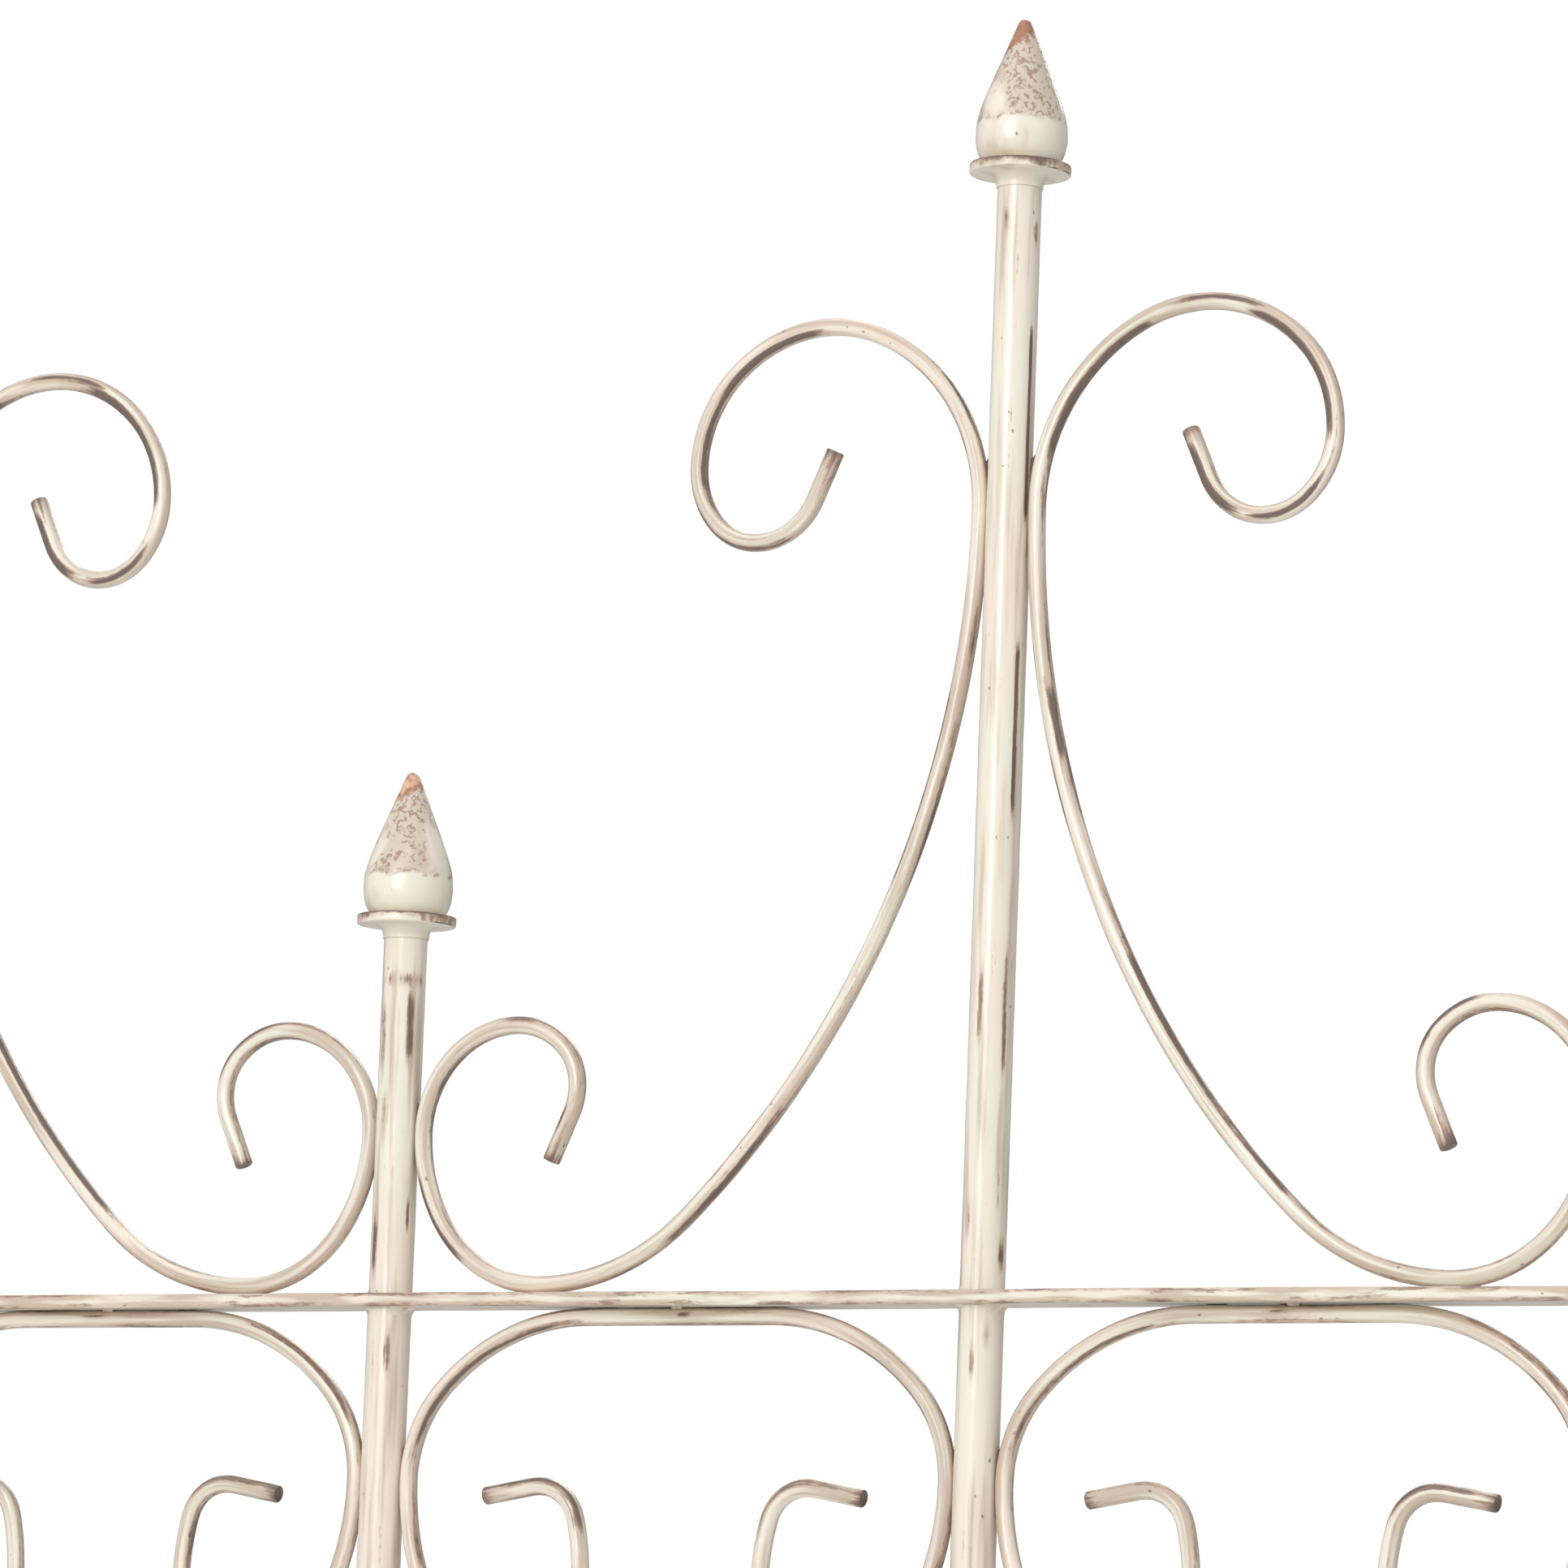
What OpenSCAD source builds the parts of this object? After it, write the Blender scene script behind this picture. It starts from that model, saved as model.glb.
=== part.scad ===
// Garden trellis panel: tube posts with finials, punched flat-bar rails and bent-rod scrolls.
// Millimetres, +Z up. The origin is on the ground line at the centre post, X runs along the
// panel and the front faces -Y. Tall posts and short posts alternate, with a scroll in each bay.

/* [Panel] */
// Distance between neighbouring posts, centre to centre
bay_w = 245; // [210:1:320]
// Height of the crest rail's centre above the ground
crest_rail_h = 970; // [800:5:1400]
// Height of the bottom rail's centre above the ground
bottom_rail_h = 90; // [75:5:200]
// Height of each scroll band, between the centres of its two rails
band_h = 136; // [120:1:170]
// Height of a tall post's finial tip above the crest rail's centre
tall_tip_h = 461; // [420:1:600]
// Height of a short post's finial tip above the crest rail's centre
short_tip_h = 196; // [175:1:260]

/* [Stock] */
// Outer diameter of the post tube
post_d = 16; // [13:0.5:20]
// Wall of the post tube
post_wall = 1.2; // [0.8:0.1:2]
// Diameter of the scroll rod and the infill rods
rod_d = 6.5; // [5:0.5:8]
// Thickness of the flat-bar rails
rail_t = 5; // [3:0.5:8]
// Depth of the flat-bar rails, front to back
rail_depth = 22; // [20:1:40]
// Length of rail beyond the axis of each end post
rail_overhang = 14; // [12:1:30]

/* [Crest scroll: curl at the tall post] */
// Height above the crest rail at which the rod is welded to the tall post
tall_weld_h = 283; // [240:1:340]
// Height of the top of the large curl
large_top_h = 353; // [330:1:420]
// Distance from the tall post's axis to the top of the large curl
large_top_out = 76; // [60:1:90]
// Height of the large curl's outermost point
large_side_h = 304; // [290:1:330]
// Distance from the tall post's axis to the large curl's outermost point
large_side_out = 128; // [110:1:150]
// Height of the lowest point of the large curl
large_low_h = 275; // [260:1:285]
// Distance from the tall post's axis to the lowest point of the large curl
large_low_out = 102; // [95:1:105]
// Bend radius of the large curl's inner end
large_end_r = 25; // [18:1:30]
// Angle of the large curl's inner end bend
large_end_turn = 66; // [30:1:90]

/* [Crest scroll: curl at the short post] */
// Distance from the short post's axis to the weld on the crest rail
low_weld_out = 63; // [55:1:75]
// Height above the crest rail at which the rod is welded to the short post
short_weld_h = 62; // [52:1:72]
// Height of the top of the small curl
small_top_h = 101; // [95:1:120]
// Distance from the short post's axis to the top of the small curl
small_top_out = 50; // [42:1:58]
// Height of the small curl's outermost point
small_side_h = 78; // [70:1:85]
// Distance from the short post's axis to the small curl's outermost point
small_side_out = 76; // [68:1:90]
// Bend radius of the small curl's end
small_end_r = 24; // [15:1:40]
// Angle of the small curl's end bend
small_end_turn = 24; // [0:1:45]
// Straight length at each end of a scroll
scroll_end = 19; // [8:1:30]

/* [Band scroll] */
// Half length of the straight stretch welded to the rail
band_flat = 38; // [20:1:50]
// Distance below the rail at which the rod is welded to the posts
band_weld_drop = 65; // [50:1:80]
// Distance from the bay's middle to the volute's lowest point
volute_low_out = 72; // [62:1:85]
// Distance from the bay's middle to the volute's innermost point
volute_side_out = 37; // [30:1:42]
// Depth of the volute's innermost point below the rail
volute_side_drop = 101; // [90:1:108]
// Distance from the bay's middle to the volute's upper turn
volute_top_out = 55; // [48:1:62]
// Depth of the volute's upper turn below the rail
volute_top_drop = 67; // [55:1:75]
// Bend radius of the volute's end
volute_end_r = 25; // [15:1:40]
// Angle of the volute's end bend
volute_end_turn = 10; // [0:1:30]

/* [Finials and collars] */
// Height of a finial above its collar
finial_h = 53.5; // [40:0.5:70]
// Largest diameter of a finial
finial_d = 33; // [26:0.5:42]
// Height of the widest point above the collar
belly_h = 10; // [8:0.5:16]
// Diameter of the finial's seat on the collar
finial_seat_d = 24; // [18:0.5:26]
// Radius of the rounded tip
tip_r = 2.6; // [2:0.1:4]
// Angle between the finial's straight flank and its axis
flank_taper = 22; // [19:0.5:24]
// Length of the finial's spigot inside the tube
spigot_len = 25; // [12:1:60]
// Diameter of the collar's rim
collar_d = 36.5; // [30:0.5:48]
// Thickness of the collar's rim
collar_rim = 3.6; // [3:0.1:5]
// Radius of the rim's rounded edges
collar_edge = 0.6; // [0.3:0.1:1.4]
// Depth of the cove between the rim's underside and the tube
collar_cove = 5; // [3:0.5:10]
// Width of the cove at the rim's underside
collar_cove_w = 2; // [1:0.5:5]
// Thickness of the collar's lower edge around the tube
collar_lip = 0.3; // [0.3:0.1:2]

/* [Feet] */
// Diameter of the ground stakes
stake_d = 10; // [8:0.5:12]
// Straight length of a ground stake below the ground line
stake_len = 150; // [100:5:300]
// Length of the stake's point
stake_point = 30; // [15:1:50]
// Thickness of the shoulder that carries the tube
stake_shoulder = 3; // [2:0.5:6]
// Length of a short post below the bottom rail
short_foot = 18; // [10:1:40]
// Height of the domed plug in the foot of a short post
plug_dome = 4; // [2:0.5:7]

/* [Fits] */
// Gap between a rod and the piece it is welded to
weld_gap = 0.1; // [0.05:0.05:0.3]
// Radial clearance of the tubes and rods in the rails' punched holes
hole_gap = 0.2; // [0.1:0.05:0.4]
// Radial clearance of the spigots in the tubes
spigot_gap = 0.15; // [0.1:0.05:0.3]
// Gap between faces that rest on each other
seat_gap = 0.1; // [0.05:0.05:0.3]

/* [Hidden] */
post_names = ["left_end", "left_inner", "centre", "right_inner", "right_end"];
bay_names = ["far_left", "left", "right", "far_right"];
rail_names = ["crest_rail", "upper_rail", "middle_rail", "lower_rail", "bottom_rail"];

$fn = 64;
cream = "#e2dac8";
// Flat sides round a bent rod, and the coarsest steps along it
rod_sides = 10;
max_step = 12;
chord_gap = 0.4;
post_r = post_d / 2;
rod_r = rod_d / 2;
tube_bore_r = post_r - post_wall;
spigot_r = tube_bore_r - spigot_gap;
upper_rail_h = crest_rail_h - band_h;
lower_rail_h = bottom_rail_h + band_h;
middle_rail_h = (upper_rail_h + lower_rail_h) / 2;
rail_heights = [crest_rail_h, upper_rail_h, middle_rail_h, lower_rail_h, bottom_rail_h];
panel_half = 2 * bay_w;
// Distance from a post's axis, or a rail's middle, to a rod welded to it
beside_post = post_r + weld_gap + rod_r;
beside_rail = rail_t / 2 + weld_gap + rod_r;

// Tall posts are the two end posts and the centre post
function is_tall(i) = i % 2 == 0;
function post_x(i) = (i - 2) * bay_w;
function tip_h(i) = crest_rail_h + (is_tall(i) ? tall_tip_h : short_tip_h);
// Top of a post's collar, which its finial stands on
function collar_top(i) = tip_h(i) - finial_h - seat_gap;
function tube_top(i) = collar_top(i) - collar_rim - seat_gap;
function tube_bottom(i) =
    is_tall(i) ? stake_shoulder + seat_gap : bottom_rail_h - rail_t / 2 - short_foot;
// A point at share t along a Bezier curve with four control points
function bezier(p, t) =
    pow(1 - t, 3) * p[0] + 3 * t * pow(1 - t, 2) * p[1] + 3 * t * t * (1 - t) * p[2] + pow(t, 3) * p[3];

// Rods lie in the panel's plane, and their points are [x, z] pairs.
function unit(v) = v / norm(v);
function reversed(list) = [for (i = [len(list) - 1:-1:0]) list[i]];
// Steps along an arc, so that its chords stay within chord_gap of it
function arc_steps(radius, turn) = ceil(turn / min(max_step, 2 * acos(1 - chord_gap / radius)));
// Points along an arc, without the one at its end
function arc(centre, radius, from_angle, to_angle) =
    let (steps = arc_steps(radius, abs(to_angle - from_angle)))
    [for (k = [0:steps - 1])
        let (a = from_angle + (to_angle - from_angle) * k / steps)
        centre + radius * [cos(a), sin(a)]];

// A quarter turn made of two tangent arcs. It leaves the first point upright and arrives at
// the second one level. Its first arc turns through split degrees.
function bend(upright, level, split) =
    let (
        reach = level - upright,
        over = abs(reach[0]),
        up = abs(reach[1]),
        centre_gap = (up - over) / (sin(split) + cos(split) - 1),
        second_r = up - centre_gap * sin(split),
        first_r = second_r + centre_gap,
        second_centre = [first_r - centre_gap * cos(split), centre_gap * sin(split)],
        points = concat(
            arc([first_r, 0], first_r, 180, 180 - split),
            arc(second_centre, second_r, 180 - split, 90),
            [[over, up]]
        )
    )
    [for (p = points) upright + [sign(reach[0]) * p[0], sign(reach[1]) * p[1]]];

// The free end of a rod: an arc, to the left where turn is positive, and a straight stretch
function free_end(start, heading, radius, turn) =
    let (
        side = sign(turn),
        centre = start + side * radius * [-sin(heading), cos(heading)],
        last = centre + side * radius * [sin(heading + turn), -cos(heading + turn)]
    )
    concat(
        arc(centre, radius, heading - 90 * side, heading - 90 * side + turn),
        [last, last + scroll_end * [cos(heading + turn), sin(heading + turn)]]
    );

// The points of a chain of stretches, each one once
function chain(stretches) =
    let (points = [for (s = stretches) for (p = s) p])
    [for (i = [0:len(points) - 1]) if (i == 0 || norm(points[i] - points[i - 1]) > 0.01) points[i]];

// Round rod along a chain of points, as one closed solid
module rod_along(points) {
    last = len(points) - 1;
    rings = [for (i = [0:last])
        let (
            before = unit(points[max(i, 1)] - points[max(i, 1) - 1]),
            after = unit(points[min(i, last - 1) + 1] - points[min(i, last - 1)]),
            along = unit(before + after)
        )
        for (j = [0:rod_sides - 1])
            let (a = 360 * j / rod_sides)
            [
                points[i][0] - rod_r * cos(a) * along[1],
                rod_r * sin(a),
                points[i][1] + rod_r * cos(a) * along[0]
            ]];
    sides = [for (i = [0:last - 1])
        for (j = [0:rod_sides - 1])
            let (a = i * rod_sides, b = a + rod_sides, k = (j + 1) % rod_sides)
            [a + j, a + k, b + k, b + j]];
    start_cap = [for (j = [rod_sides - 1:-1:0]) j];
    end_cap = [for (j = [0:rod_sides - 1]) last * rod_sides + j];
    polyhedron(rings, concat([start_cap, end_cap], sides));
}

// Scroll above the crest rail, drawn with the short post's axis at x = 0 and the tall post's
// at x = bay_w, and z = 0 at the rail's centre
module crest_scroll_shape() {
    tall_weld = [bay_w - beside_post, tall_weld_h];
    rail_weld = [low_weld_out, beside_rail];
    short_weld = [beside_post, short_weld_h];
    large_top = [bay_w - large_top_out, large_top_h];
    large_side = [bay_w - large_side_out, large_side_h];
    large_low = [bay_w - large_low_out, large_low_h];
    small_top = [small_top_out, small_top_h];
    small_side = [small_side_out, small_side_h];
    rod_along(chain([
        reversed(free_end(large_low, 0, large_end_r, large_end_turn)),
        reversed(bend(large_side, large_low, 44)),
        bend(large_side, large_top, 44),
        reversed(bend(tall_weld, large_top, 62)),
        bend(tall_weld, rail_weld, 47),
        reversed(bend(short_weld, rail_weld, 33)),
        bend(short_weld, small_top, 55),
        reversed(bend(small_side, small_top, 45)),
        free_end(small_side, -90, small_end_r, -small_end_turn)
    ]));
}

// Scroll that hangs below the crest rail, with x = 0 in the middle of the bay and z = 0 at
// the rail's centre
module band_scroll_shape() {
    top = -beside_rail;
    post_weld = [bay_w / 2 - beside_post, -band_weld_drop];
    volute_low = [volute_low_out, beside_rail - band_h];
    volute_side = [volute_side_out, -volute_side_drop];
    volute_top = [volute_top_out, -volute_top_drop];
    half = chain([
        reversed(bend(post_weld, [band_flat, top], 43)),
        bend(post_weld, volute_low, 32),
        reversed(bend(volute_side, volute_low, 45)),
        bend(volute_side, volute_top, 15),
        free_end(volute_top, 0, volute_end_r, -volute_end_turn)
    ]);
    rod_along(concat([for (p = reversed(half)) [-p[0], p[1]]], half));
}

// The crest scrolls face away from each tall post, so neighbouring bays are mirror images
module crest_scroll(bay) {
    short_post = is_tall(bay) ? bay + 1 : bay;
    color(cream)
        translate([post_x(short_post), 0, crest_rail_h])
            mirror([is_tall(bay) ? 1 : 0, 0, 0])
                crest_scroll_shape();
}

module upper_scroll(bay) {
    color(cream)
        translate([post_x(bay) + bay_w / 2, 0, crest_rail_h])
            band_scroll_shape();
}

// The lower scrolls are the upper ones turned upside down on the bottom rail
module lower_scroll(bay) {
    color(cream)
        translate([post_x(bay) + bay_w / 2, 0, bottom_rail_h])
            mirror([0, 0, 1])
                band_scroll_shape();
}

// Thin rod in the middle of a bay, through the middle rail and welded to the rails at its ends
module infill_rod(bay) {
    end_gap = rail_t / 2 + weld_gap;
    color(cream)
        translate([post_x(bay) + bay_w / 2, 0, lower_rail_h + end_gap])
            cylinder(h = upper_rail_h - lower_rail_h - 2 * end_gap, r = rod_r);
}

// Flat bar lying level, punched where a piece passes through it. Short posts end below the
// bottom rail, so every post passes through every rail.
module rail(height) {
    rail_len = 2 * (panel_half + rail_overhang);
    color(cream)
        translate([0, 0, height])
            difference() {
                cube([rail_len, rail_depth, rail_t], center = true);
                for (i = [0:4])
                    translate([post_x(i), 0, -rail_t])
                        cylinder(h = 2 * rail_t, r = post_r + hole_gap);
                if (height == middle_rail_h)
                    for (bay = [0:3])
                        translate([post_x(bay) + bay_w / 2, 0, -rail_t])
                            cylinder(h = 2 * rail_t, r = rod_r + hole_gap);
            }
}

module post(i) {
    tube_len = tube_top(i) - tube_bottom(i);
    color(cream)
        translate([post_x(i), 0, tube_bottom(i)])
            difference() {
                cylinder(h = tube_len, r = post_r);
                translate([0, 0, -1])
                    cylinder(h = tube_len + 2, r = tube_bore_r);
            }
}

// Disc-shaped collar that sleeves over the end of the tube. Its rim has rounded edges, and a
// cove, a hollow quarter of an ellipse, joins its flat underside to the tube.
module collar(i) {
    sleeve_r = post_r + spigot_gap;
    lip_r = sleeve_r + collar_lip;
    edge_centre_r = collar_d / 2 - collar_edge;
    top_edge = [for (a = [90:-15:0])
        [edge_centre_r + collar_edge * cos(a), collar_edge * (sin(a) - 1)]];
    low_edge = [for (a = [0:-15:-90])
        [edge_centre_r + collar_edge * cos(a), collar_edge * (sin(a) + 1) - collar_rim]];
    cove = [for (a = [0:15:90])
        [lip_r + collar_cove_w * (1 - sin(a)), -collar_rim - collar_cove * (1 - cos(a))]];
    color(cream)
        translate([post_x(i), 0, collar_top(i)])
            rotate_extrude(convexity = 4)
                polygon(concat(
                    [[tube_bore_r, 0]],
                    top_edge,
                    low_edge,
                    cove,
                    [[sleeve_r, -collar_rim - collar_cove]],
                    [[sleeve_r, -collar_rim], [tube_bore_r, -collar_rim]]
                ));
}

// Cast finial: a round belly, a flank that runs straight to a rounded tip, and a spigot for
// the tube. The flank is a Bezier curve whose handles are shares of its height.
module finial(i) {
    belly_r = finial_d / 2;
    seat_r = finial_seat_d / 2;
    flank_top = [tip_r * cos(flank_taper), finial_h - tip_r * (1 - sin(flank_taper))];
    flank_len = finial_h - belly_h;
    belly_handle = 0.2 * flank_len;
    tip_handle = 0.7 * flank_len;
    flank = [
        [belly_r, belly_h],
        [belly_r, belly_h + belly_handle],
        flank_top + tip_handle * [sin(flank_taper), -cos(flank_taper)],
        flank_top
    ];
    belly = [for (a = [0:10:80])
        [seat_r + (belly_r - seat_r) * sin(a), belly_h * (1 - cos(a))]];
    tip = [for (a = [flank_taper:(90 - flank_taper) / 6:89])
        [tip_r * cos(a), finial_h - tip_r * (1 - sin(a))]];
    color(cream)
        translate([post_x(i), 0, tip_h(i) - finial_h]) {
            rotate_extrude(convexity = 4)
                polygon(concat(
                    [[0, 0]],
                    belly,
                    [for (k = [0:15]) bezier(flank, k / 16)],
                    tip,
                    [[0, finial_h]]
                ));
            translate([0, 0, -spigot_len])
                cylinder(h = spigot_len, r = spigot_r);
        }
}

// Ground stake of a tall post: spigot in the tube, shoulder, round bar and point
module stake(i) {
    color(cream)
        translate([post_x(i), 0, 0]) {
            cylinder(h = stake_shoulder, r = post_r);
            cylinder(h = stake_shoulder + spigot_len, r = spigot_r);
            translate([0, 0, -stake_len])
                cylinder(h = stake_len, r = stake_d / 2);
            translate([0, 0, -stake_len - stake_point])
                cylinder(h = stake_point, r1 = 0.8, r2 = stake_d / 2);
        }
}

// Domed plug that closes the foot of a short post
module plug(i) {
    sphere_r = (post_r * post_r + plug_dome * plug_dome) / (2 * plug_dome);
    color(cream)
        translate([post_x(i), 0, tube_bottom(i) - seat_gap]) {
            intersection() {
                translate([0, 0, sphere_r - plug_dome])
                    sphere(sphere_r);
                translate([0, 0, -plug_dome])
                    cylinder(h = plug_dome, r = post_r);
            }
            cylinder(h = spigot_len, r = spigot_r);
        }
}

for (i = [0:4]) {
    post(i);
    collar(i);
    finial(i);
    rail(rail_heights[i]);
}
for (i = [0, 2, 4]) {
    stake(i);
}
for (i = [1, 3]) {
    plug(i);
}
for (bay = [0:3]) {
    crest_scroll(bay);
    upper_scroll(bay);
    lower_scroll(bay);
    infill_rod(bay);
}
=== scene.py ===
"""Garden trellis panel, enamelled and rubbed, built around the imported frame. Metres, +Z up."""

import math

import bpy
import numpy as np
from mathutils import Matrix, Vector, noise


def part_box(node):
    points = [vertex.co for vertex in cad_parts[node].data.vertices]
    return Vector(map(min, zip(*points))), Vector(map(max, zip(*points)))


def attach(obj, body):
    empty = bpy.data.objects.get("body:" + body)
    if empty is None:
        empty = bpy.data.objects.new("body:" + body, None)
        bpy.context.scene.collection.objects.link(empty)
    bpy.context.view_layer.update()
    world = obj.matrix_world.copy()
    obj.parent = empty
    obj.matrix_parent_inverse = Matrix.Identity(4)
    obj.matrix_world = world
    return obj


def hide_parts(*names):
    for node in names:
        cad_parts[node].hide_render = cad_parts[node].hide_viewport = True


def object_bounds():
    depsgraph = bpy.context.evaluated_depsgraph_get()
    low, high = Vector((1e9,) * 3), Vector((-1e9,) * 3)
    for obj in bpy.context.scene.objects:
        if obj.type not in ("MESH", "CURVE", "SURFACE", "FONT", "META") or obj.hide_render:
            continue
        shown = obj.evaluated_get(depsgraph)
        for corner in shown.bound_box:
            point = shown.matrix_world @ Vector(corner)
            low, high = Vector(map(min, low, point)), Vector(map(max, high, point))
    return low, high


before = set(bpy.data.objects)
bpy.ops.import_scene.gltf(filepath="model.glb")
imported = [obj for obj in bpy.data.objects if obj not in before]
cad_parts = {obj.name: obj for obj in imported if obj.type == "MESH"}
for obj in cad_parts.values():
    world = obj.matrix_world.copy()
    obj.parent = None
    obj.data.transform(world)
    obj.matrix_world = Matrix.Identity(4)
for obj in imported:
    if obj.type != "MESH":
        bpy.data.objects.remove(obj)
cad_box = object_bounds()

POSTS = ["left_end", "left_inner", "centre", "right_inner", "right_end"]
TALL_POSTS = POSTS[0::2]
SHORT_POSTS = POSTS[1::2]
BAYS = ["far_left", "left", "right", "far_right"]
RAILS = ["crest_rail", "upper_rail", "middle_rail", "lower_rail", "bottom_rail"]


# ---- Sizes from the frame ------------------------------------------------------------------

def middle(node):
    low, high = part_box(node)
    return (low + high) / 2


POST_X = [middle("post_" + name).x for name in POSTS]
RAIL_Z = {name: middle(name).z for name in RAILS}
BAY_W = POST_X[1] - POST_X[0]
CREST_H = RAIL_Z["crest_rail"]
BAND_H = CREST_H - RAIL_Z["upper_rail"]


def half_width(node):
    low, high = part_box(node)
    return (high.x - low.x) / 2


POST_R = half_width("post_centre")
ROD_R = half_width("infill_rod_left")
RAIL_HALF_T = (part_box("crest_rail")[1].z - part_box("crest_rail")[0].z) / 2
RAIL_HALF_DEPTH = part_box("crest_rail")[1].y

# Sizes that the boxes don't show
POST_WALL = 0.0012
WELD_GAP = 0.0001
HOLE_GAP = 0.0002
BESIDE_POST = POST_R + WELD_GAP + ROD_R
BESIDE_RAIL = RAIL_HALF_T + WELD_GAP + ROD_R

# Crest scroll: points on its centre line, from the short post's axis and the crest rail's centre
TALL_WELD = (BAY_W - BESIDE_POST, 0.283)
LARGE_TOP = (BAY_W - 0.076, 0.353)
LARGE_SIDE = (BAY_W - 0.128, 0.304)
LARGE_LOW = (BAY_W - 0.102, 0.275)
RAIL_WELD = (0.063, BESIDE_RAIL)
SHORT_WELD = (BESIDE_POST, 0.062)
SMALL_TOP = (0.050, 0.101)
SMALL_SIDE = (0.076, 0.078)
# The last bend before a free end: its radius, and its turn in degrees
LARGE_END = (0.025, 66)
SMALL_END = (0.024, -24)

# Band scroll: points on its centre line, from the middle of its bay and its rail's centre
BAND_FLAT = 0.038
BAND_WELD = (BAY_W / 2 - BESIDE_POST, -0.065)
VOLUTE_LOW = (0.072, BESIDE_RAIL - BAND_H)
VOLUTE_SIDE = (0.037, -0.101)
VOLUTE_TOP = (0.055, -0.067)
VOLUTE_END = (0.025, -10)
# The straight stretch at every free end
SCROLL_END = 0.019


# ---- Rod centre lines, as [x, z] points ----------------------------------------------------

ARC_STEP = 0.0025


def direction(angle):
    return np.array([math.cos(math.radians(angle)), math.sin(math.radians(angle))])


def arc(centre, radius, from_angle, to_angle):
    steps = max(3, math.ceil(math.radians(abs(to_angle - from_angle)) * radius / ARC_STEP))
    angles = np.linspace(from_angle, to_angle, steps + 1)
    return [np.array(centre) + radius * direction(a) for a in angles]


def bend(upright, level, split):
    """A quarter turn of two tangent arcs, upright at its first point and level at its second.
    The first arc turns by split degrees."""
    reach = np.array(level) - np.array(upright)
    over, up = abs(reach)
    sine, cosine = math.sin(math.radians(split)), math.cos(math.radians(split))
    centre_gap = (up - over) / (sine + cosine - 1)
    second_r = up - centre_gap * sine
    first_r = second_r + centre_gap
    second_centre = (first_r - centre_gap * cosine, centre_gap * sine)
    points = arc((first_r, 0), first_r, 180, 180 - split)
    points += arc(second_centre, second_r, 180 - split, 90)
    return [np.array(upright) + np.sign(reach) * p for p in points]


def straight(start, end):
    start = np.array(start)
    reach = np.array(end) - start
    steps = max(2, math.ceil(np.linalg.norm(reach) / ARC_STEP))
    return [start + reach * k / steps for k in range(steps + 1)]


def free_end(start, heading, radius, turn):
    """The last bend of a rod, to the left where turn is positive, and a straight stretch."""
    side = math.copysign(1, turn)
    centre = np.array(start) + side * radius * direction(heading + 90)
    points = arc(centre, radius, heading - 90 * side, heading - 90 * side + turn)
    return points + straight(points[-1], points[-1] + SCROLL_END * direction(heading + turn))


def chain(*stretches):
    """Joins stretches, leaving out points that repeat the one before."""
    points = [p for stretch in stretches for p in stretch]
    kept = [points[0]]
    for p in points[1:]:
        if np.linalg.norm(p - kept[-1]) > ARC_STEP / 10:
            kept.append(p)
    return np.array(kept)


def crest_line():
    """From the large curl's free end down to the crest rail and up to the small curl's end."""
    return chain(
        free_end(LARGE_LOW, 0, *LARGE_END)[::-1],
        bend(LARGE_SIDE, LARGE_LOW, split=44)[::-1],
        bend(LARGE_SIDE, LARGE_TOP, split=44),
        bend(TALL_WELD, LARGE_TOP, split=62)[::-1],
        bend(TALL_WELD, RAIL_WELD, split=47),
        bend(SHORT_WELD, RAIL_WELD, split=33)[::-1],
        bend(SHORT_WELD, SMALL_TOP, split=55),
        bend(SMALL_SIDE, SMALL_TOP, split=45)[::-1],
        free_end(SMALL_SIDE, -90, *SMALL_END),
    )


def band_line():
    """From one volute's free end over the flat top to the other's."""
    half = chain(
        straight((0, -BESIDE_RAIL), (BAND_FLAT, -BESIDE_RAIL)),
        bend(BAND_WELD, (BAND_FLAT, -BESIDE_RAIL), split=43)[::-1],
        bend(BAND_WELD, VOLUTE_LOW, split=32),
        bend(VOLUTE_SIDE, VOLUTE_LOW, split=45)[::-1],
        bend(VOLUTE_SIDE, VOLUTE_TOP, split=15),
        free_end(VOLUTE_TOP, 0, *VOLUTE_END),
    )
    return np.concatenate([half[:0:-1] * [-1, 1], half])


# ---- Meshes --------------------------------------------------------------------------------

def smooth(value, low, high):
    t = np.clip((value - low) / (high - low), 0, 1)
    return t * t * (3 - 2 * t)


def lumps(points, size, seed):
    """Smooth unevenness from -1 to 1 at each point, in lumps of about the given size."""
    shift = Vector((seed * 3.7, seed * 1.3, seed * 7.1))
    flat = np.reshape(points, (-1, 3))
    values = [noise.noise(Vector(p) / size + shift) for p in flat]
    return np.reshape(values, np.shape(points)[:-1])


def lumps_along(distances, size, seed):
    """Smooth unevenness along a line."""
    return lumps(np.stack([distances, distances * 0, distances * 0], axis=-1), size, seed)


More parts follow.
